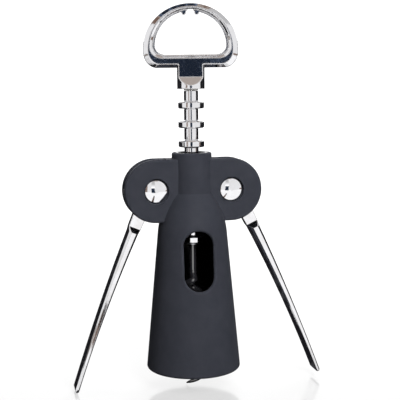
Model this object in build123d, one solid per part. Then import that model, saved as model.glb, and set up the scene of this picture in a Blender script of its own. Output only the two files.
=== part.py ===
from build123d import *
import os
from math import cos, hypot, radians, sin

# Lever corkscrew. Millimetres. Z is the spindle axis, up towards the handle. The origin is the
# centre of the bell's rim. The window faces -Y and the two lever pivots lie along X.

# ---- driving dimensions ----
RIM_R = 22.2            # bell, outside, at the rim
BELL_TAPER = 0.092      # radius lost per millimetre of height
CONE_TOP_Z = 65.0       # where the straight taper ends and the dome starts
WALL = 2.4              # bell wall
RIM_ROUND = 1.2
COLLAR_R = 9.3
COLLAR_Z = 83.4         # dome meets the collar
COLLAR_TOP_Z = 102.1
COLLAR_ROUND = 0.9
CAVITY_TAPER_TOP_Z = 62.0   # where the inside leaves the straight taper for its domed roof
ROOF_Z = 78.4           # top of the cavity
BORE_SPARE = 0.4        # the shell's bore is wider than the bush's
BORE_REACH = 60.0       # long enough to pass right through the collar
BUSH_SEAT_H = 4.0       # counterbore for the collar bush
BUSH_SEAT_WALL = 1.3
FIT = 0.05              # gap between pieces that are laid or set in one another
SLIP = 0.02             # gap round a pin or bush in its own hole

PIVOT_X = 17.65
PIVOT_Z = 84.7
EAR_R = 14.6
EAR_HALF_Y = 5.6        # half the depth over both ear plates
FORK_HALF_Y = 2.9       # half the gap between the ear plates
FORK_SPARE = 0.9        # the slot reaches this far past the ear's own radius
EAR_ROUND = 0.9
CAP_R = 5.15
RECESS_R = 5.9
RECESS_DEPTH = 1.3
CAP_PROUD = 0.8         # dome above the ear's face
CAP_SKIRT = 0.7         # straight edge under the dome
PIN_R = 2.2
PIN_SHORT = 0.4         # a pin's rear end stops this far inside the ear's face
WASHER_R = 7.5
LEVER_BUSH_WALL = 0.7

WINDOW_W = 13.6
WINDOW_H = 27.5
WINDOW_Z = 53.2
WINDOW_ROUND = 0.9

MOUTH_R = 15.3          # takes a bottle neck up to 30 mm across
SEAT_Z = 33.5           # flat seat for the bottle's lip
SEAT_HOLE_R = 12.2      # a drawn cork passes through
GUIDE_TOP_Z = 36.0
GUIDE_BOTTOM_Z = 0.9
LEAD_IN = 1.5

RING_PITCH = 8.9
RING_R = 6.05
RING_T = 3.2
RING_CHAMFER = 0.5
CORE_R = 3.35
RING_TOP_Z = 123.9      # middle of the highest ring
RING_COUNT = 8
RACK_TOP_Z = 130.6
RACK_BORE_R = 2.45
BORE_R = 6.35           # collar bush, round the rings

GEAR_TEETH = 9          # as if the gear went all the way round
TIP_R = 14.05
ROOT_R = 11.1
TOOTH_HALF_TIP = 0.95
TOOTH_HALF_ROOT = 2.15
TOOTH_SUNK = 1.5        # a tooth's foot, inside the root circle
TOOTH_CREST = 0.6       # height of its rounded crest
FIRST_TOOTH = 23.8      # degrees from +X, right lever in mid mesh
TOOTH_COUNT = 6
PLAIN_FROM = -121.0     # the plain rim of a lever's head, same angles
PLAIN_TO = 6.0
PLAIN_R = 14.5
HEAD_HALF_Y = 2.5
MESH_SWING = 24.1       # arm's angle from straight down, in mid mesh
LEFT_SWING = 22.6       # arms as they hang: the tooth play lets them differ
RIGHT_SWING = 25.6

ARM_START = 8.0         # distances from the pivot, along the arm
HIP_START = 19.3        # the arm's flat root widens in depth over the hip
HIP_END = 21.5
ARM_END = 100.2
ARM_CROWN = 33.0        # where the arm's line stands furthest out
ARM_BOW = 2.7
ROOT_HALF_W = 3.2       # the root's half width, at the head and at the hip
ROOT_HALF_W_HIP = 2.85
BAR_HALF_W = 2.15       # the bar's half width at the hip and at its end
BAR_HALF_W_END = 0.9
BAR_TAPER_POWER = 1.6
BAR_HALF_Y = 5.5        # the bar is a deep blade: half its depth at the hip and at its end
BAR_HALF_Y_END = 5.2
END_BEVEL = 0.6
ROOT_CHAMFER = 0.2
ARM_SPANS = 6           # lengths that the bar is lofted over

HANDLE_TURN = -11.3     # the ring's turn about Z
# The ring's outlines, each a D: half width, top, shoulder, bottom, corner width, corner height.
RING_OUTSIDE = (21.8, 170.0, 149.5, 140.9, 6.3, 7.6)
RING_OUTER_CREST = (19.5, 168.5, 149.5, 142.5, 5.3, 6.4)
RING_HOLE = (17.4, 167.3, 150.5, 146.2, 5.4, 4.2)
RING_INNER_CREST = (18.5, 167.9, 150.5, 145.3, 5.8, 4.8)
WEB_OUTSIDE = (17.9, 167.6, 150.5, 145.8, 5.6, 4.6)
WEB_HOLE = (16.2, 166.4, 151.0, 146.9, 4.7, 4.0)
RING_HALF_Y = 3.1       # half the depth at the crest, at the outer edge and at the hole's edge
OUTER_EDGE_HALF_Y = 1.3
HOLE_EDGE_HALF_Y = 2.2
WEB_HALF_Y = 1.3
OPENER_TOOTH_X = 2.95   # the two rounded teeth that lift a crown cap, and the notch between them
OPENER_TOOTH_Z = 165.8
OPENER_TOOTH_R = 1.15
OPENER_NOTCH_Z = 166.2
OPENER_NOTCH_R = 1.5
NECK_R = 6.4
NECK_BOTTOM_Z = 131.3
NECK_TOP_Z = 143.4      # inside the ring's lower bar
NECK_FLAT_Y = 3.1
NECK_SLOPE_LOW_Z = 133.0
NECK_SLOPE_TOP_Z = 136.6
SHANK_PIN_Z = 132.6
SHANK_PIN_R = 1.0
SHANK_PIN_SUNK = 0.35   # its outer end, under the neck's surface

WIRE_R = 1.7
HELIX_R = 3.4
HELIX_PITCH = 9.6
COIL_TOP_Z = 41.0
SHANK_BEND_Z = 47.0
TIP_Z = -8.2
SHANK_TOP_Z = 137.5
SHANK_HOLE_SPARE = 0.1  # the hole is longer than the shank at each end
POINT_R = 0.25
CLIP_R = 3.0
CLIP_T = 0.8
CLIP_GAP = 0.15         # under the rack
CLIP_SLOT_W = 1.6
CLIP_SLOT_H = 2.4

# ---- worked out ----
RACK_BOTTOM_Z = RING_TOP_Z - (RING_COUNT - 1) * RING_PITCH - RING_T / 2


def bell_r(z):
    """Outside radius of the straight part of the bell."""
    return RIM_R - BELL_TAPER * z


def upright(sketch):
    """A sketch drawn in X and Z, stood up on the XZ plane."""
    return Plane.XZ * sketch


def turned(points):
    """A solid of revolution about Z from (radius, height) points."""
    return revolve(upright(make_face(Polyline(*points, close=True))), Axis.Z)


def ring(r_in, r_out, z_low, z_high):
    return turned([(r_in, z_low), (r_out, z_low), (r_out, z_high), (r_in, z_high)])


def across(x, z, r, y_from, y_to):
    """A cylinder along Y at (x, z)."""
    length = y_to - y_from
    return Pos(x, (y_from + y_to) / 2, z) * Rot(90, 0, 0) * Cylinder(r, length)


# ---- body ----
def bell_and_collar():
    edge = Line((0, 0), (RIM_R - RIM_ROUND, 0))
    top_r = bell_r(CONE_TOP_Z)
    lean = (-BELL_TAPER, 1)
    corner = TangentArc((RIM_R - RIM_ROUND, 0), (bell_r(RIM_ROUND), RIM_ROUND), tangent=(1, 0))
    cone = Line(corner @ 1, (top_r, CONE_TOP_Z))
    dome = TangentArc(cone @ 1, (COLLAR_R, COLLAR_Z), tangent=lean)
    side = Line(dome @ 1, (COLLAR_R, COLLAR_TOP_Z - COLLAR_ROUND))
    brow = TangentArc(side @ 1, (COLLAR_R - COLLAR_ROUND, COLLAR_TOP_Z), tangent=(0, 1))
    top = Line(brow @ 1, (0, COLLAR_TOP_Z))
    axis = Line(top @ 1, (0, 0))
    return revolve(upright(make_face([edge, corner, cone, dome, side, brow, top, axis])), Axis.Z)


def cavity():
    """The inside of the bell, closed at the top under the collar."""
    low = (RIM_R - WALL, 0)
    high = (bell_r(CAVITY_TAPER_TOP_Z) - WALL, CAVITY_TAPER_TOP_Z)
    roof = TangentArc(high, (BORE_R, ROOF_Z), tangent=(-BELL_TAPER, 1))
    lines = [Line((0, 0), low), Line(low, high), roof]
    lines += [Line(roof @ 1, (0, ROOF_Z)), Line((0, ROOF_Z), (0, 0))]
    return revolve(upright(make_face(lines)), Axis.Z)


def ear(side):
    """One ear, rounded outside and flat on top, as a solid lug before it is forked."""
    disc = Pos(side * PIVOT_X, PIVOT_Z) * Circle(EAR_R)
    web = Pos(side * PIVOT_X / 2, PIVOT_Z) * Rectangle(PIVOT_X, 2 * EAR_R)
    lug = extrude(upright(disc + web), EAR_HALF_Y, both=True)
    faces = lug.faces().sort_by(Axis.Y)
    rims = faces[0].edges() + faces[-1].edges()
    outer = rims.filter_by(lambda e: abs(e.center().X) > 0.1)
    return fillet(outer, EAR_ROUND)


def window():
    slot = SlotOverall(WINDOW_H, WINDOW_W, rotation=90)
    return Pos(0, -RIM_R, WINDOW_Z) * extrude(upright(slot), RIM_R / 2, both=True)


def body_shell():
    body = bell_and_collar() + ear(-1) + ear(1)
    body -= cavity()
    body -= window()
    lip = body.edges().filter_by(
        lambda e: e.center().Y < -WINDOW_W
        and abs(e.center().X) <= WINDOW_W / 2 + 0.1
        and abs(e.center().Z - WINDOW_Z) <= WINDOW_H / 2 + 0.1
        and hypot(e.center().X, e.center().Y) > bell_r(e.center().Z) - WALL / 2
    )
    body = fillet(lip, WINDOW_ROUND)
    body -= Pos(0, 0, COLLAR_Z) * Cylinder(BORE_R + BORE_SPARE, BORE_REACH)
    body -= Pos(0, 0, COLLAR_TOP_Z - BUSH_SEAT_H / 2) * Cylinder(
        BORE_R + BUSH_SEAT_WALL, BUSH_SEAT_H + SLIP / 2)
    for side in (-1, 1):
        x = side * PIVOT_X
        body -= across(x, PIVOT_Z, EAR_R + FORK_SPARE, -FORK_HALF_Y, FORK_HALF_Y)
        body -= across(x, PIVOT_Z, PIN_R, -EAR_HALF_Y, EAR_HALF_Y)
        for face in (-1, 1):
            floor_y = face * (EAR_HALF_Y - RECESS_DEPTH)
            outside_y = face * (EAR_HALF_Y + 1)
            body -= across(x, PIVOT_Z, RECESS_R, min(floor_y, outside_y), max(floor_y, outside_y))
    return body


def bottle_guide():
    def outside(z):
        return bell_r(z) - WALL - FIT

    z = GUIDE_BOTTOM_Z
    return turned([
        (MOUTH_R + LEAD_IN, z),
        (outside(z), z),
        (outside(GUIDE_TOP_Z), GUIDE_TOP_Z),
        (SEAT_HOLE_R, GUIDE_TOP_Z),
        (SEAT_HOLE_R, SEAT_Z),
        (MOUTH_R, SEAT_Z),
        (MOUTH_R, z + 2 * LEAD_IN),
    ])


def collar_bush():
    low, high = COLLAR_TOP_Z - BUSH_SEAT_H + FIT, COLLAR_TOP_Z - FIT
    return ring(BORE_R, BORE_R + BUSH_SEAT_WALL - FIT, low, high)


# ---- pivots ----
def dome_head(face):
    """A domed head in an ear's recess, face -1 in front and 1 behind."""
    seat = EAR_HALF_Y - RECESS_DEPTH
    shoulder = seat + CAP_SKIRT
    crown = EAR_HALF_Y + CAP_PROUD
    outline = [
        Line((0, seat), (CAP_R, seat)),
        Line((CAP_R, seat), (CAP_R, shoulder)),
        TangentArc((0, crown), (CAP_R, shoulder), tangent=(1, 0)),
        Line((0, crown), (0, seat)),
    ]
    return Rot(-90 * face, 0, 0) * revolve(upright(make_face(outline)), Axis.Z)


def pivot_pin(side):
    reach = EAR_HALF_Y - PIN_SHORT
    head = Pos(side * PIVOT_X, 0, PIVOT_Z) * dome_head(-1)
    stem = across(side * PIVOT_X, PIVOT_Z, PIN_R - SLIP, RECESS_DEPTH - EAR_HALF_Y, reach)
    return head + stem


def pivot_cap(side):
    cap = Pos(side * PIVOT_X, 0, PIVOT_Z) * dome_head(1)
    return cap - across(side * PIVOT_X, PIVOT_Z, PIN_R, 0, EAR_HALF_Y - PIN_SHORT + FIT)


def side_washers(side):
    pair = []
    for face in (-1, 1):
        inner, outer = HEAD_HALF_Y + FIT, FORK_HALF_Y - FIT
        low, high = sorted((face * inner, face * outer))
        disc = across(side * PIVOT_X, PIVOT_Z, WASHER_R, low, high)
        pair.append(disc - across(side * PIVOT_X, PIVOT_Z, PIN_R + 2 * FIT, low, high))
    return Compound(pair)


# ---- levers ----
def polar(r, angle):
    return (r * cos(radians(angle)), r * sin(radians(angle)))


def tooth():
    """One gear tooth, pointing along +X from the pivot, with a rounded crest."""
    root = ROOT_R - TOOTH_SUNK
    crest = TIP_R - TOOTH_CREST
    outline = [
        Line((root, -TOOTH_HALF_ROOT), (root, TOOTH_HALF_ROOT)),
        Line((root, TOOTH_HALF_ROOT), (crest, TOOTH_HALF_TIP)),
        ThreePointArc((crest, TOOTH_HALF_TIP), (TIP_R, 0), (crest, -TOOTH_HALF_TIP)),
        Line((crest, -TOOTH_HALF_TIP), (root, -TOOTH_HALF_ROOT)),
    ]
    return make_face(outline)


def head_outline():
    """The lever's head, right hand, in mid mesh: gear sector, plain rim and arm root."""
    middle = (PLAIN_FROM + PLAIN_TO) / 2
    rim = make_face([
        Line((0, 0), polar(PLAIN_R, PLAIN_FROM)),
        ThreePointArc(polar(PLAIN_R, PLAIN_FROM), polar(PLAIN_R, middle), polar(PLAIN_R, PLAIN_TO)),
        Line(polar(PLAIN_R, PLAIN_TO), (0, 0)),
    ])
    outline = Circle(ROOT_R) + rim
    for i in range(TOOTH_COUNT):
        angle = FIRST_TOOTH + i * 360 / GEAR_TEETH
        outline += Rot(0, 0, angle) * tooth()
    return outline


def arm_line(s):
    """How far the arm's middle line stands out from the pivot's own line, at a distance s."""
    return ARM_BOW * (1 - ((s - ARM_CROWN) / (ARM_END - ARM_CROWN)) ** 2)


def arm_section(s, half_w, half_y, chamfer):
    """A chamfered rectangle across the arm at a distance s from the pivot."""
    corner_x, corner_y = half_w - chamfer, half_y - chamfer
    right = [(half_w, -corner_y), (half_w, corner_y), (corner_x, half_y)]
    left = [(-x, -y) for x, y in right]
    outline = make_face(Polyline((corner_x, -half_y), *right, (-corner_x, half_y), *left, close=True))
    plane = Plane(origin=(arm_line(s), 0, -s), x_dir=(1, 0, 0), z_dir=(0, 0, -1))
    return plane * outline


def bar_section(s):
    left_over = (ARM_END - s) / (ARM_END - HIP_END)
    half_w = BAR_HALF_W_END + (BAR_HALF_W - BAR_HALF_W_END) * left_over ** BAR_TAPER_POWER
    half_y = BAR_HALF_Y_END + (BAR_HALF_Y - BAR_HALF_Y_END) * left_over
    return arm_section(s, half_w, half_y, half_w / 2)


def arm():
    """The arm, hanging straight down from the pivot at the origin."""
    hip_root = arm_section(HIP_START, ROOT_HALF_W_HIP, HEAD_HALF_Y, ROOT_CHAMFER)
    root = loft([arm_section(ARM_START, ROOT_HALF_W, HEAD_HALF_Y, ROOT_CHAMFER), hip_root])
    hip = loft([hip_root, bar_section(HIP_END)])
    stations = [HIP_END + (ARM_END - HIP_END) * i / ARM_SPANS for i in range(ARM_SPANS + 1)]
    bar = loft([bar_section(s) for s in stations])
    end = bar.faces().sort_by(Axis.Z)[0]
    bar = chamfer(end.edges(), END_BEVEL)
    return root + hip + bar


def lever(side):
    """A whole lever: built as the right one, then mirrored for the left."""
    swing = RIGHT_SWING if side > 0 else LEFT_SWING
    head = extrude(upright(head_outline()), HEAD_HALF_Y, both=True)
    gear = Rot(0, -(swing - MESH_SWING), 0) * head
    body = gear + Rot(0, -swing, 0) * arm()
    body -= across(0, 0, PIN_R + LEVER_BUSH_WALL, -HEAD_HALF_Y, HEAD_HALF_Y)
    body = Pos(PIVOT_X, 0, PIVOT_Z) * body
    return body if side > 0 else mirror(body, Plane.YZ)


def lever_bush(side):
    x, outer_r = side * PIVOT_X, PIN_R + LEVER_BUSH_WALL - SLIP
    sleeve = across(x, PIVOT_Z, outer_r, -HEAD_HALF_Y, HEAD_HALF_Y)
    return sleeve - across(x, PIVOT_Z, PIN_R + FIT, -HEAD_HALF_Y, HEAD_HALF_Y)


# ---- rack ----
def rack_sleeve():
    """A hollow round rack. Each core length is rounded where it meets a ring."""
    half, groove = RING_T / 2, 0.35
    points = [(RACK_BORE_R, RACK_BOTTOM_Z)]
    for i in reversed(range(RING_COUNT)):
        z = RING_TOP_Z - i * RING_PITCH
        points += [
            (CORE_R - groove, z - half),
            (RING_R - RING_CHAMFER, z - half),
            (RING_R, z - half + RING_CHAMFER),
            (RING_R, z + half - RING_CHAMFER),
            (RING_R - RING_CHAMFER, z + half),
            (CORE_R - groove, z + half),
            (CORE_R, z + half + groove),
        ]
        above = z + RING_PITCH - half if i else RACK_TOP_Z
        points += [(CORE_R, above - groove)]
    points += [(CORE_R - groove, RACK_TOP_Z), (RACK_BORE_R, RACK_TOP_Z)]
    return turned(points)


def rack_bushes():
    length = 7.0
    inner, outer = WIRE_R + FIT, RACK_BORE_R - SLIP
    low = ring(inner, outer, RACK_BOTTOM_Z, RACK_BOTTOM_Z + length)
    high = ring(inner, outer, RACK_TOP_Z - length, RACK_TOP_Z)
    return Compound([low, high])


# ---- handle, worm and what holds them ----
def thrust_washer():
    return ring(WIRE_R + FIT, CORE_R, RACK_TOP_Z + 2 * FIT, NECK_BOTTOM_Z)


def retaining_clip():
    top = RACK_BOTTOM_Z - CLIP_GAP
    clip = ring(WIRE_R, CLIP_R, top - CLIP_T, top)
    slot_y = CLIP_R + CLIP_T / 2 - CLIP_SLOT_H / 2
    return clip - Pos(0, slot_y, top) * Box(CLIP_SLOT_W, CLIP_SLOT_H, 2 * CLIP_R)


def d_outline(half_w, top, shoulder, bottom, corner_w, corner_h):
    """A D lying on its flat side: half an ellipse above, rounded corners below."""
    above = [
        EllipticalCenterArc((0, shoulder), half_w, top - shoulder, start_angle=0, arc_size=180),
    ]
    x, z = half_w - corner_w, bottom + corner_h
    sides = [Line((-half_w, shoulder), (-half_w, z)), Line((half_w, z), (half_w, shoulder))]
    corners = [
        EllipticalCenterArc((-x, z), corner_w, corner_h, start_angle=180, arc_size=90),
        EllipticalCenterArc((x, z), corner_w, corner_h, start_angle=270, arc_size=90),
    ]
    return make_face(above + sides + corners + [Line((-x, bottom), (x, bottom))])


def opener_web():
    """The thin inner plate with the two cap-lifter teeth at its top."""
    plate = d_outline(*WEB_OUTSIDE) - d_outline(*WEB_HOLE)
    for x in (-OPENER_TOOTH_X, OPENER_TOOTH_X):
        plate += Pos(x, OPENER_TOOTH_Z) * Circle(OPENER_TOOTH_R)
    plate -= Pos(0, OPENER_NOTCH_Z) * Circle(OPENER_NOTCH_R)
    return extrude(upright(plate), WEB_HALF_Y, both=True)


def crowned(wide, narrow, straight_y, crest_y):
    """A plate of outline wide, whose faces lean in or out to outline narrow at the crest."""
    plate = extrude(upright(wide), straight_y, both=True)
    near = loft([Plane.XZ.offset(straight_y) * wide, Plane.XZ.offset(crest_y) * narrow], ruled=True)
    return plate + near + mirror(near, Plane.XZ)


def finger_ring():
    """The band is bevelled outside and inside, up to a narrow crest front and back."""
    outside = crowned(
        d_outline(*RING_OUTSIDE), d_outline(*RING_OUTER_CREST), OUTER_EDGE_HALF_Y, RING_HALF_Y)
    inside = crowned(
        d_outline(*RING_HOLE), d_outline(*RING_INNER_CREST), HOLE_EDGE_HALF_Y, RING_HALF_Y)
    return outside - inside


def neck():
    """A round neck, hollowed front and back to the thickness of the ring."""
    near_side = [
        (NECK_R, NECK_BOTTOM_Z), (NECK_R, NECK_SLOPE_LOW_Z), (NECK_FLAT_Y, NECK_SLOPE_TOP_Z),
        (NECK_FLAT_Y, NECK_TOP_Z),
    ]
    far_side = [(-y, z) for y, z in reversed(near_side)]
    side_view = make_face(Polyline(*near_side, *far_side, close=True))
    slab = extrude(Plane.YZ * side_view, NECK_R + 1, both=True)
    middle_z = (NECK_BOTTOM_Z + NECK_TOP_Z) / 2
    return slab & Pos(0, 0, middle_z) * Cylinder(NECK_R, NECK_TOP_Z - NECK_BOTTOM_Z)


def handle_ring():
    handle = finger_ring() + opener_web() + neck()
    hole_z, hole_h = (NECK_BOTTOM_Z + SHANK_TOP_Z) / 2, SHANK_TOP_Z - NECK_BOTTOM_Z
    handle -= Pos(0, 0, hole_z) * Cylinder(WIRE_R + SLIP, hole_h + 2 * SHANK_HOLE_SPARE)
    handle -= across(0, SHANK_PIN_Z, SHANK_PIN_R, 0, NECK_R + 1)
    return Rot(0, 0, HANDLE_TURN) * handle


def shank_pin():
    pin = across(0, SHANK_PIN_Z, SHANK_PIN_R - SLIP, WIRE_R + SLIP, NECK_R - SHANK_PIN_SUNK)
    return Rot(0, 0, HANDLE_TURN) * pin


def worm():
    """A wire screw, right handed. Its point is ground to a taper."""
    start = 180.0
    taper_turn = 0.42
    tip_height = taper_turn * HELIX_PITCH
    coil_height = COIL_TOP_Z - TIP_Z - tip_height
    coil_start = start + 360 * taper_turn
    coil = Pos(0, 0, TIP_Z + tip_height) * Rot(0, 0, coil_start) * Helix(
        HELIX_PITCH, coil_height, HELIX_R)
    point = Pos(0, 0, TIP_Z) * Rot(0, 0, start) * Helix(HELIX_PITCH, tip_height, HELIX_R)
    end, lead = coil @ 1, coil % 1
    reach = 5.0
    bend = Bezier(
        end, end + lead * reach, Vector(0, 0, SHANK_BEND_Z) - Vector(0, 0, reach),
        Vector(0, 0, SHANK_BEND_Z))
    shank = Line((0, 0, SHANK_BEND_Z), (0, 0, SHANK_TOP_Z))

    def section(path, at, r):
        return Plane(origin=path @ at, z_dir=path % at) * Circle(r)

    wire = sweep(section(coil, 0, WIRE_R), path=coil, is_frenet=True)
    wire += sweep(section(bend, 0, WIRE_R), path=bend)
    wire += sweep(section(shank, 0, WIRE_R), path=shank)
    taper = sweep(
        [section(point, 0, POINT_R), section(point, 1, WIRE_R)],
        path=point, is_frenet=True, multisection=True)
    return wire + taper


def save(name, solid):
    export_step(solid, f"parts/{name}.step")


os.makedirs("parts", exist_ok=True)
save("body_shell", body_shell())
save("bottle_guide", bottle_guide())
save("collar_bush", collar_bush())
for side, hand in ((-1, "left"), (1, "right")):
    save(f"{hand}_pivot_pin", pivot_pin(side))
    save(f"{hand}_pivot_cap", pivot_cap(side))
    save(f"{hand}_side_washers", side_washers(side))
    save(f"{hand}_lever", lever(side))
    save(f"{hand}_lever_bush", lever_bush(side))
save("rack_sleeve", rack_sleeve())
save("rack_bushes", rack_bushes())
save("thrust_washer", thrust_washer())
save("retaining_clip", retaining_clip())
save("handle_ring", handle_ring())
save("shank_pin", shank_pin())
save("worm", worm())
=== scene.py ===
from math import cos, radians, sin

import bmesh
import bpy
from mathutils import Matrix, Vector


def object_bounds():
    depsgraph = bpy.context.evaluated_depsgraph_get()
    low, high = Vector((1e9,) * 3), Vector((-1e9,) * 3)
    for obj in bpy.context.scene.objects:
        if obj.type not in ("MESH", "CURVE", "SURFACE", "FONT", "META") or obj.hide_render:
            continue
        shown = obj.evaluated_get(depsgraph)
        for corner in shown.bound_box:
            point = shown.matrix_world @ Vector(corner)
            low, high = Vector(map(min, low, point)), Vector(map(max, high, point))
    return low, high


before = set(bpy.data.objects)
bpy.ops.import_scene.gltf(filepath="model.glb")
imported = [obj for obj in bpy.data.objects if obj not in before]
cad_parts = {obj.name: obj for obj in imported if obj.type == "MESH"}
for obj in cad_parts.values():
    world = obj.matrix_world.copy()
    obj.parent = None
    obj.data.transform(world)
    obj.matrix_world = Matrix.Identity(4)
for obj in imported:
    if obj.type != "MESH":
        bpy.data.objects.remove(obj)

cad_low, cad_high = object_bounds()
MM = 0.001

# ---- camera: at the photograph's viewing angle, in metres and degrees; lens and sensor in mm ----
CAMERA_AZIMUTH = -11.3
CAMERA_DISTANCE = 0.4319
CAMERA_HEIGHT = 0.1334
CAMERA_PITCH = 7.09
CAMERA_ROLL = -0.55
CAMERA_LENS = 83.8
CAMERA_SENSOR = 36.0
CAMERA_SHIFT_X = 0.02
CAMERA_CLIP_START = 0.01

# ---- the bell's lining: inside the middle of its wall the bell is gloss black, and its near-black colour also paints the shade of the bell's hollow ----
HALF_WALL = 1.2 * MM
MID_WALL_R = cad_high.y - HALF_WALL     # at the rim
BELL_TAPER = 0.092                      # radius lost per metre of height
BELL_CONE_TOP = 65 * MM
# bare gloss black, darkened further as painted shade inside the bell's hollow
LINING_AND_SHADE_COLOUR = (0.003, 0.003, 0.0036)
LINING_ROUGHNESS = 0.14

# ---- surfaces: the noise values that a change runs between, and how edges wear ----
GRAIN_SPAN = (0.3, 0.7)
CLOUD_SPAN = (0.35, 0.65)
WEAR_SPAN = (0.38, 0.62)
LEAST_WEAR = 0.15
CLOUD_PER_WAVE = 0.6            # size of the mottling beside that of the waviness
EDGE_SPAN = (0.995, 0.85)       # cosine between the true and the rounded normal: no wear, full wear
BEVEL_SAMPLES = 6

# ---- studio, in metres and degrees. Angles are from the camera's side, positive to its right ----
WORLD_COLOUR = (1.0, 1.0, 1.0)
WORLD_STRENGTH = 0.15
SURROUND_R = 3.6
SURROUND_LOW = 1.45             # brightness near the horizon
SURROUND_HIGH = 0.60            # brightness high overhead
SURROUND_FADE = (0.25, 0.6)     # the heights between which it fades, as shares of the radius
FLOOR_HALF = 3.0
FLOOR_Z = cad_low.z - 0.4 * MM
FLOOR_COLOUR = (0.10, 0.10, 0.10)
FLOOR_ROUGHNESS = 0.12
FLOOR_GLOW = 0.62
LOW_SHEET_Z = cad_low.z - 0.2 * MM      # sheets that lie just over the floor
LOW_LINE_Z = LOW_SHEET_Z + 0.1 * MM
OVERHEAD_Z = 0.42
OVERHEAD_RIM_Z = 0.425
ROUND_STEPS = 12                # flat faces in each sheet that bends round the object
CARD_R = 0.5
LOW_HEIGHTS = (0.03, 0.08)      # lowest and highest point of the low upright cards
RISE_SLOPE = 0.26               # how a rising card climbs, outwards to its far radius
RISE_TO_R = 3.4
SOFTBOX_R = 0.7
SOFTBOX_TOP = 1.6
SOFTBOX_STRENGTH = 0.95
LOW_SOFTBOX_STRENGTH = 1.15
CARD_ROUGHNESS = 0.9
CARD_BLACK = (0.010, 0.010, 0.012)
CARD_GREY = (0.045, 0.045, 0.05)
CARD_NAVY = (0.012, 0.018, 0.032)
CARD_BLUE = (0.13, 0.17, 0.25)
CARD_BROWN = (0.20, 0.13, 0.10)
CARD_TAN = (0.47, 0.41, 0.37)
STREAK_MM = 24.0
WIDE_STREAK_MM = 45.0
STREAK_SPAN = (0.52, 0.60)
STREAK_STRETCH = (0.6, 0.6, 1.4)
SPECK_MM = 30.0
SPECK_DEPTH = 0.1               # share by which a studio surface's roughness varies

# ---- sockets of a Mix node that mixes colours ----
MIX_FACTOR = 0
MIX_A = 6
MIX_B = 7
MIX_RESULT = 2


# ---- node helpers ----
def add(tree, kind, inputs=None, **settings):
    """A node with its settings and the values or links of its inputs."""
    node = tree.nodes.new(kind)
    for key, value in settings.items():
        setattr(node, key, value)
    for key, value in (inputs or {}).items():
        if isinstance(value, bpy.types.NodeSocket):
            tree.links.new(value, node.inputs[key])
        else:
            node.inputs[key].default_value = value
    return node


def object_place(tree):
    return add(tree, "ShaderNodeTexCoord").outputs["Object"]


def noise(tree, where, size_mm, detail=3.0, roughness=0.55, stretch=(1, 1, 1)):
    """Noise whose lumps are about size_mm across, from 0 to 1."""
    spread = add(tree, "ShaderNodeMapping", {"Vector": where, "Scale": stretch})
    return add(tree, "ShaderNodeTexNoise", {
        "Vector": spread.outputs["Vector"], "Scale": 1 / (size_mm * MM), "Detail": detail,
        "Roughness": roughness}).outputs["Fac"]


def ranged(tree, value, span, to_low, to_high):
    """The value, spread so that what lies within span runs from to_low to to_high."""
    low, high = span
    return add(tree, "ShaderNodeMapRange", {
        "Value": value, "From Min": low, "From Max": high, "To Min": to_low, "To Max": to_high,
    }).outputs["Result"]


def product(tree, a, b):
    return add(tree, "ShaderNodeMath", {0: a, 1: b}, operation="MULTIPLY").outputs[0]


def less_than(tree, a, b):
    return add(tree, "ShaderNodeMath", {0: a, 1: b}, operation="LESS_THAN").outputs[0]


def mixed(tree, factor, a, b):
    node = add(tree, "ShaderNodeMix", {MIX_FACTOR: factor, MIX_A: a, MIX_B: b}, data_type="RGBA")
    return node.outputs[MIX_RESULT]


def bumped(tree, height, depth_mm, normal):
    return add(tree, "ShaderNodeBump", {
        "Height": height, "Distance": depth_mm * MM, "Strength": 1.0, "Normal": normal,
    }).outputs["Normal"]


def rgba(colour):
    return (*colour, 1.0)


def grey(level):
    return (level, level, level, 1.0)


# ---- materials ----
def edge_mask(tree, rounded):
    """1 along sharp edges, where the rounded normal leaves the true one, and 0 on flat faces."""
    true_normal = add(tree, "ShaderNodeNewGeometry").outputs["Normal"]
    facing = add(tree, "ShaderNodeVectorMath", {0: rounded, 1: true_normal},
                 operation="DOT_PRODUCT")
    return ranged(tree, facing.outputs["Value"], EDGE_SPAN, 0.0, 1.0)


def material(name, colour, tint, metallic, rough, grain_mm, grain_depth, wave_mm, wave_depth,
             edge_mm, edge_colour, edge_rough, stretch=(1, 1, 1), **sockets):
    """A surface with mottled colour and roughness, a grain, a slow waviness and worn edges."""
    made = bpy.data.materials.new(name)
    made.use_nodes = True
    tree = made.node_tree
    shader = tree.nodes["Principled BSDF"]
    where = object_place(tree)
    rounded = add(tree, "ShaderNodeBevel", {"Radius": edge_mm * MM},
                  samples=BEVEL_SAMPLES).outputs["Normal"]
    grain = noise(tree, where, grain_mm, detail=2.0, roughness=0.6, stretch=stretch)
    wave = noise(tree, where, wave_mm, detail=2.0)
    cloud = noise(tree, where, wave_mm * CLOUD_PER_WAVE, detail=4.0, roughness=0.65)
    wear = product(tree, edge_mask(tree, rounded), ranged(tree, cloud, WEAR_SPAN, LEAST_WEAR, 1.0))
    base = mixed(tree, ranged(tree, cloud, CLOUD_SPAN, 0.0, 1.0), rgba(colour), rgba(tint))
    tree.links.new(mixed(tree, wear, base, rgba(edge_colour)), shader.inputs["Base Color"])
    smooth_to_worn = mixed(tree, wear, ranged(tree, grain, GRAIN_SPAN, *rough), grey(edge_rough))
    tree.links.new(smooth_to_worn, shader.inputs["Roughness"])
    waved = bumped(tree, wave, wave_depth, rounded)
    tree.links.new(bumped(tree, grain, grain_depth, waved), shader.inputs["Normal"])
    shader.inputs["Metallic"].default_value = metallic
    for key, value in sockets.items():
        shader.inputs[key.replace("_", " ")].default_value = value
    return made


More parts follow.
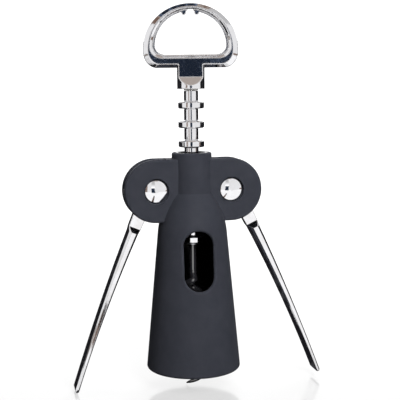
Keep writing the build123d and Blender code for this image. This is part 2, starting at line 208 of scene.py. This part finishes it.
def line_and_shade_the_bell(made):
    """The coating gives way to bare gloss black inside the bell, darkened so far that it also paints
    the shade of the bell's hollow.
    """
    tree = made.node_tree
    shader = tree.nodes["Principled BSDF"]
    place = add(tree, "ShaderNodeSeparateXYZ", {"Vector": object_place(tree)}).outputs
    level = add(tree, "ShaderNodeCombineXYZ", {"X": place["X"], "Y": place["Y"]})
    radius = add(tree, "ShaderNodeVectorMath", {0: level.outputs["Vector"]}, operation="LENGTH")
    wall_r = add(tree, "ShaderNodeMath", {0: place["Z"], 1: -BELL_TAPER, 2: MID_WALL_R},
                 operation="MULTIPLY_ADD")
    within = less_than(tree, radius.outputs["Value"], wall_r.outputs[0])
    inside = product(tree, within, less_than(tree, place["Z"], BELL_CONE_TOP))
    # inside the bell the colour turns near black: the lining's own gloss black, and painted shade of
    # the hollow
    for socket, lined_and_shaded in (("Base Color", rgba(LINING_AND_SHADE_COLOUR)),
                          ("Roughness", grey(LINING_ROUGHNESS))):
        outside = shader.inputs[socket].links[0].from_socket
        tree.links.new(mixed(tree, inside, outside, lined_and_shaded), shader.inputs[socket])


def make_materials():
    """A finish for each kind of node."""
    chrome = material(
        "chrome", colour=(0.83, 0.83, 0.85), tint=(0.79, 0.785, 0.80), metallic=1.0,
        rough=(0.045, 0.085), grain_mm=0.35, grain_depth=0.0008, wave_mm=5.0, wave_depth=0.035,
        edge_mm=0.28, edge_colour=(0.88, 0.87, 0.86), edge_rough=0.10)
    cast_chrome = material(
        "cast_chrome", colour=(0.83, 0.83, 0.85), tint=(0.79, 0.785, 0.80), metallic=1.0,
        rough=(0.045, 0.085), grain_mm=0.35, grain_depth=0.0010, wave_mm=4.0, wave_depth=0.045,
        edge_mm=0.80, edge_colour=(0.82, 0.80, 0.79), edge_rough=0.09)
    lever_chrome = material(
        "lever_chrome", colour=(0.82, 0.82, 0.84), tint=(0.74, 0.73, 0.735), metallic=1.0,
        rough=(0.06, 0.12), grain_mm=0.30, grain_depth=0.001, wave_mm=7.0, wave_depth=0.03,
        edge_mm=0.22, edge_colour=(0.88, 0.87, 0.86), edge_rough=0.16)
    coating = material(
        "soft_touch", colour=(0.0265, 0.0280, 0.0355), tint=(0.0225, 0.0240, 0.0308),
        metallic=0.0, rough=(0.50, 0.62), grain_mm=0.16, grain_depth=0.006, wave_mm=14.0,
        wave_depth=0.02, edge_mm=0.35, edge_colour=(0.026, 0.029, 0.036), edge_rough=0.46,
        Specular_IOR_Level=0.05, Sheen_Weight=0.01, Sheen_Roughness=0.5)
    line_and_shade_the_bell(coating)
    gloss_black = material(
        "gloss_black", colour=(0.0030, 0.0030, 0.0038), tint=(0.0045, 0.0045, 0.0055),
        metallic=0.0, rough=(0.08, 0.13), grain_mm=0.4, grain_depth=0.001, wave_mm=9.0,
        wave_depth=0.02, edge_mm=0.25, edge_colour=(0.03, 0.03, 0.033), edge_rough=0.2)
    bush = material(
        "bush_plastic", colour=(0.72, 0.71, 0.68), tint=(0.66, 0.65, 0.61), metallic=0.0,
        rough=(0.36, 0.48), grain_mm=0.25, grain_depth=0.003, wave_mm=4.0, wave_depth=0.01,
        edge_mm=0.12, edge_colour=(0.80, 0.79, 0.76), edge_rough=0.42)
    worm = material(
        "worm_coating", colour=(0.010, 0.010, 0.012), tint=(0.015, 0.015, 0.017), metallic=0.0,
        rough=(0.08, 0.14), grain_mm=0.22, grain_depth=0.002, wave_mm=4.0, wave_depth=0.01,
        edge_mm=0.12, edge_colour=(0.05, 0.05, 0.052), edge_rough=0.25,
        Specular_IOR_Level=1.0, Coat_Weight=1.0, Coat_Roughness=0.05, Coat_IOR=1.8)
    steel = material(
        "turned_steel", colour=(0.52, 0.52, 0.54), tint=(0.46, 0.46, 0.48), metallic=1.0,
        rough=(0.24, 0.36), grain_mm=0.2, grain_depth=0.003, wave_mm=3.0, wave_depth=0.005,
        edge_mm=0.1, edge_colour=(0.66, 0.66, 0.67), edge_rough=0.3, stretch=(1, 6, 1))
    return {
        "body_shell": coating, "bottle_guide": gloss_black, "collar_bush": gloss_black,
        "rack_sleeve": chrome, "rack_bushes": bush, "handle_ring": cast_chrome,
        "shank_pin": steel, "worm": worm, "thrust_washer": bush, "retaining_clip": steel,
        "pivot_pin": chrome, "pivot_cap": chrome, "side_washers": bush,
        "lever": lever_chrome, "lever_bush": steel,
    }


def dress(nodes, finishes):
    """Every CAD node gets its finish: a left or right node takes the one its pair shares."""
    for name, piece in nodes.items():
        kind = name.removeprefix("left_").removeprefix("right_")
        piece.data.materials.clear()
        piece.data.materials.append(finishes[kind])


# ---- finishes of the studio ----
def plain(name, colour, roughness, specular, glow):
    """An even studio surface that may shine white of its own."""
    made = bpy.data.materials.new(name + "_surface")
    made.use_nodes = True
    tree = made.node_tree
    shader = tree.nodes["Principled BSDF"]
    speck = noise(tree, object_place(tree), SPECK_MM)
    shader.inputs["Base Color"].default_value = rgba(colour)
    shader.inputs["Specular IOR Level"].default_value = specular
    shader.inputs["Emission Color"].default_value = grey(1.0)
    shader.inputs["Emission Strength"].default_value = glow
    tree.links.new(
        ranged(tree, speck, GRAIN_SPAN, roughness * (1 - SPECK_DEPTH), roughness * (1 + SPECK_DEPTH)),
        shader.inputs["Roughness"])
    return made


def glowing(name, strength):
    """Black, but for its own even light."""
    return plain(name, (0.0, 0.0, 0.0), CARD_ROUGHNESS, specular=0.0, glow=strength)


def mottled(name, colours, streak_mm):
    """A card that shows its own colour, with soft streaks, however dim the studio is."""
    made = glowing(name, 1.0)
    tree = made.node_tree
    lumps = noise(tree, object_place(tree), streak_mm, detail=4.0, roughness=0.7,
                  stretch=STREAK_STRETCH)
    ground, streak = colours
    blend = mixed(tree, ranged(tree, lumps, STREAK_SPAN, 0.0, 1.0), rgba(ground), rgba(streak))
    tree.links.new(blend, tree.nodes["Principled BSDF"].inputs["Emission Color"])
    return made


def seen_from_above(made):
    """The finish shows only on a sheet's upper face, so the floor under it doesn't mirror it."""
    tree = made.node_tree
    clear = add(tree, "ShaderNodeBsdfTransparent")
    back = add(tree, "ShaderNodeNewGeometry").outputs["Backfacing"]
    shown = add(tree, "ShaderNodeMixShader", {
        0: back, 1: tree.nodes["Principled BSDF"].outputs["BSDF"], 2: clear.outputs["BSDF"]})
    tree.links.new(shown.outputs[0], tree.nodes["Material Output"].inputs["Surface"])
    return made


# ---- shapes of the studio ----
def stage_object(name, build, finish):
    """A mesh of the studio, which sheds no light on matt surfaces."""
    mesh = bpy.data.meshes.new(name)
    form = bmesh.new()
    build(form)
    form.to_mesh(mesh)
    form.free()
    mesh.materials.append(finish)
    made = bpy.data.objects.new(name, mesh)
    bpy.context.scene.collection.objects.link(made)
    made.visible_diffuse = False
    return made


def leave_no_shadow(made):
    made.visible_shadow = False
    made.visible_transmission = False


def mirrored_only(name, build, finish):
    """A sheet that nothing but polished surfaces sees."""
    made = stage_object(name, build, finish)
    leave_no_shadow(made)
    made.visible_camera = False


def sheet_round(name, degrees, start, end, finish):
    """A sheet bent round the object. Each of start and end is a radius and a height."""
    from_deg, to_deg = [CAMERA_AZIMUTH + side for side in degrees]

    def build(form):
        rows = []
        for i in range(ROUND_STEPS + 1):
            a = radians(from_deg + (to_deg - from_deg) * i / ROUND_STEPS)
            rows.append([form.verts.new((r * sin(a), -r * cos(a), z)) for r, z in (start, end)])
        for (start_a, end_a), (start_b, end_b) in zip(rows, rows[1:]):
            form.faces.new((start_a, end_a, end_b, start_b))

    mirrored_only(name, build, finish)


def upright_card(name, degrees, heights, colours):
    low, high = heights
    sheet_round(name, degrees, (CARD_R, low), (CARD_R, high), mottled(name, colours, STREAK_MM))


def softbox(name, degrees):
    sheet_round(name, degrees, (SOFTBOX_R, 0.0), (SOFTBOX_R, SOFTBOX_TOP),
                glowing(name, SOFTBOX_STRENGTH))


def rising_card(name, degrees, start, colours, streak_mm=STREAK_MM):
    """A dark sheet that rises outwards from near the floor, and shows only from above."""
    from_r, from_z = start
    end = (RISE_TO_R, from_z + RISE_SLOPE * (RISE_TO_R - from_r))
    sheet_round(name, degrees, start, end, seen_from_above(mottled(name, colours, streak_mm)))


def level_sheet(name, x_range, y_range, height, finish):
    def build(form):
        (x0, x1), (y0, y1) = x_range, y_range
        form.faces.new([form.verts.new((x, y, height))
                        for x, y in ((x0, y0), (x1, y0), (x1, y1), (x0, y1))])

    mirrored_only(name, build, finish)


def floor_card(name, x_range, y_range, height, colours):
    level_sheet(name, x_range, y_range, height,
                seen_from_above(mottled(name, colours, STREAK_MM)))


def overhead_card(name, x_range, y_range, height, colours):
    level_sheet(name, x_range, y_range, height, mottled(name, colours, STREAK_MM))


def floor():
    def build(form):
        bmesh.ops.create_grid(form, x_segments=2, y_segments=2, size=FLOOR_HALF)

    finish = plain("floor", FLOOR_COLOUR, FLOOR_ROUGHNESS, specular=0.5, glow=FLOOR_GLOW)
    stage_object("floor", build, finish).location.z = FLOOR_Z


def white_surround():
    """What the camera sees behind the object, from any side. It dims overhead."""
    def build(form):
        bmesh.ops.create_icosphere(form, subdivisions=4, radius=SURROUND_R)

    finish = glowing("surround", SURROUND_LOW)
    tree = finish.node_tree
    height = add(tree, "ShaderNodeSeparateXYZ", {"Vector": object_place(tree)}).outputs["Z"]
    fade_from, fade_to = [share * SURROUND_R for share in SURROUND_FADE]
    fade = ranged(tree, height, (fade_from, fade_to), SURROUND_LOW, SURROUND_HIGH)
    tree.links.new(fade, tree.nodes["Principled BSDF"].inputs["Emission Strength"])
    leave_no_shadow(stage_object("surround", build, finish))


def mirrored_cards():
    """The dark and warm cards, and the low softbox, that the polished surfaces mirror."""
    rising_card("card_front", degrees=(-9, 10), start=(0.30, 0.03),
                colours=(CARD_NAVY, CARD_BLUE), streak_mm=WIDE_STREAK_MM)
    for name, degrees in (("card_left", (-163, -84)), ("card_right", (84, 163))):
        rising_card(name, degrees, start=(0.07, cad_low.z), colours=(CARD_BLACK, CARD_GREY))
    upright_card("card_left_warm", degrees=(-44, -30), heights=(0.03, 0.5),
                 colours=(CARD_BROWN, CARD_TAN))
    upright_card("card_right_warm", degrees=(70, 88), heights=LOW_HEIGHTS,
                 colours=(CARD_BROWN, CARD_TAN))
    upright_card("card_left_low", degrees=(-78, -60), heights=LOW_HEIGHTS,
                 colours=(CARD_BLACK, CARD_TAN))
    level_sheet("softbox_low", x_range=(-0.5, 0.5), y_range=(-0.6, -0.05), height=LOW_SHEET_Z,
                finish=seen_from_above(glowing("softbox_low", LOW_SOFTBOX_STRENGTH)))
    floor_card("card_low_line", x_range=(-0.042, -0.024), y_range=(-0.19, -0.05),
             height=LOW_LINE_Z, colours=(CARD_BLACK, CARD_BROWN))
    overhead_card("card_above", x_range=(-0.12, 0.12), y_range=(-0.30, 0.02),
                  height=OVERHEAD_Z, colours=(CARD_TAN, CARD_TAN))
    overhead_card("card_above_top", x_range=(-0.22, 0.05), y_range=(0.02, 0.16),
                  height=OVERHEAD_Z, colours=(CARD_NAVY, CARD_BLUE))
    overhead_card("card_above_rim", x_range=(-0.36, 0.24), y_range=(0.02, 0.20),
                  height=OVERHEAD_RIM_Z, colours=(CARD_BROWN, CARD_TAN))
    floor_card("card_low_back", x_range=(-0.7, 0.7), y_range=(-0.012, 1.4),
             height=LOW_SHEET_Z, colours=(CARD_BLACK, CARD_GREY))


# ---- light and camera ----
def world_light():
    world = bpy.data.worlds.new("studio_white")
    world.use_nodes = True
    background = world.node_tree.nodes["Background"]
    background.inputs["Color"].default_value = rgba(WORLD_COLOUR)
    background.inputs["Strength"].default_value = WORLD_STRENGTH
    bpy.context.scene.world = world


def area_light(name, azimuth, elevation, distance, size, power):
    """A light aimed at the object's middle. Polished surfaces don't mirror it."""
    light = bpy.data.lights.new(name, "AREA")
    light.shape = "RECTANGLE"
    light.size, light.size_y = size
    light.energy = power
    made = bpy.data.objects.new(name, light)
    a, e = radians(CAMERA_AZIMUTH + azimuth), radians(elevation)
    aim = (cad_low + cad_high) / 2
    place = Vector((sin(a) * cos(e), -cos(a) * cos(e), sin(e))) * distance + aim
    made.location = place
    made.rotation_euler = (aim - place).to_track_quat("-Z", "Y").to_euler()
    made.visible_glossy = False
    bpy.context.scene.collection.objects.link(made)


def studio():
    world_light()
    floor()
    mirrored_cards()
    white_surround()
    softbox("softbox_left", degrees=(-86, -9))
    softbox("softbox_right", degrees=(11, 86))
    area_light("key", azimuth=23, elevation=30, distance=0.5, size=(0.2, 0.3), power=4.8)
    area_light("rear_fill", azimuth=168, elevation=38, distance=0.6, size=(0.3, 0.3), power=4.0)
    area_light("left_fill", azimuth=-95, elevation=25, distance=0.6, size=(0.3, 0.3), power=1.2)
    bpy.context.scene.view_settings.view_transform = "Standard"


def camera():
    a, p, roll = radians(CAMERA_AZIMUTH), radians(CAMERA_PITCH), radians(CAMERA_ROLL)
    ahead = Vector((-sin(a) * cos(p), cos(a) * cos(p), -sin(p)))
    level = Vector((cos(a), sin(a), 0))
    upward = level.cross(ahead)
    right = level * cos(roll) + upward * sin(roll)
    up = upward * cos(roll) - level * sin(roll)
    turn = Matrix((right, up, -ahead)).transposed().to_4x4()
    place = Vector((sin(a) * CAMERA_DISTANCE, -cos(a) * CAMERA_DISTANCE, CAMERA_HEIGHT))
    data = bpy.data.cameras.new("camera")
    data.lens = CAMERA_LENS
    data.sensor_width = CAMERA_SENSOR
    data.shift_x = CAMERA_SHIFT_X
    data.clip_start = CAMERA_CLIP_START
    made = bpy.data.objects.new("camera", data)
    bpy.context.scene.collection.objects.link(made)
    made.matrix_world = Matrix.Translation(place) @ turn
    bpy.context.scene.camera = made


dress(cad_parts, make_materials())
studio()
camera()
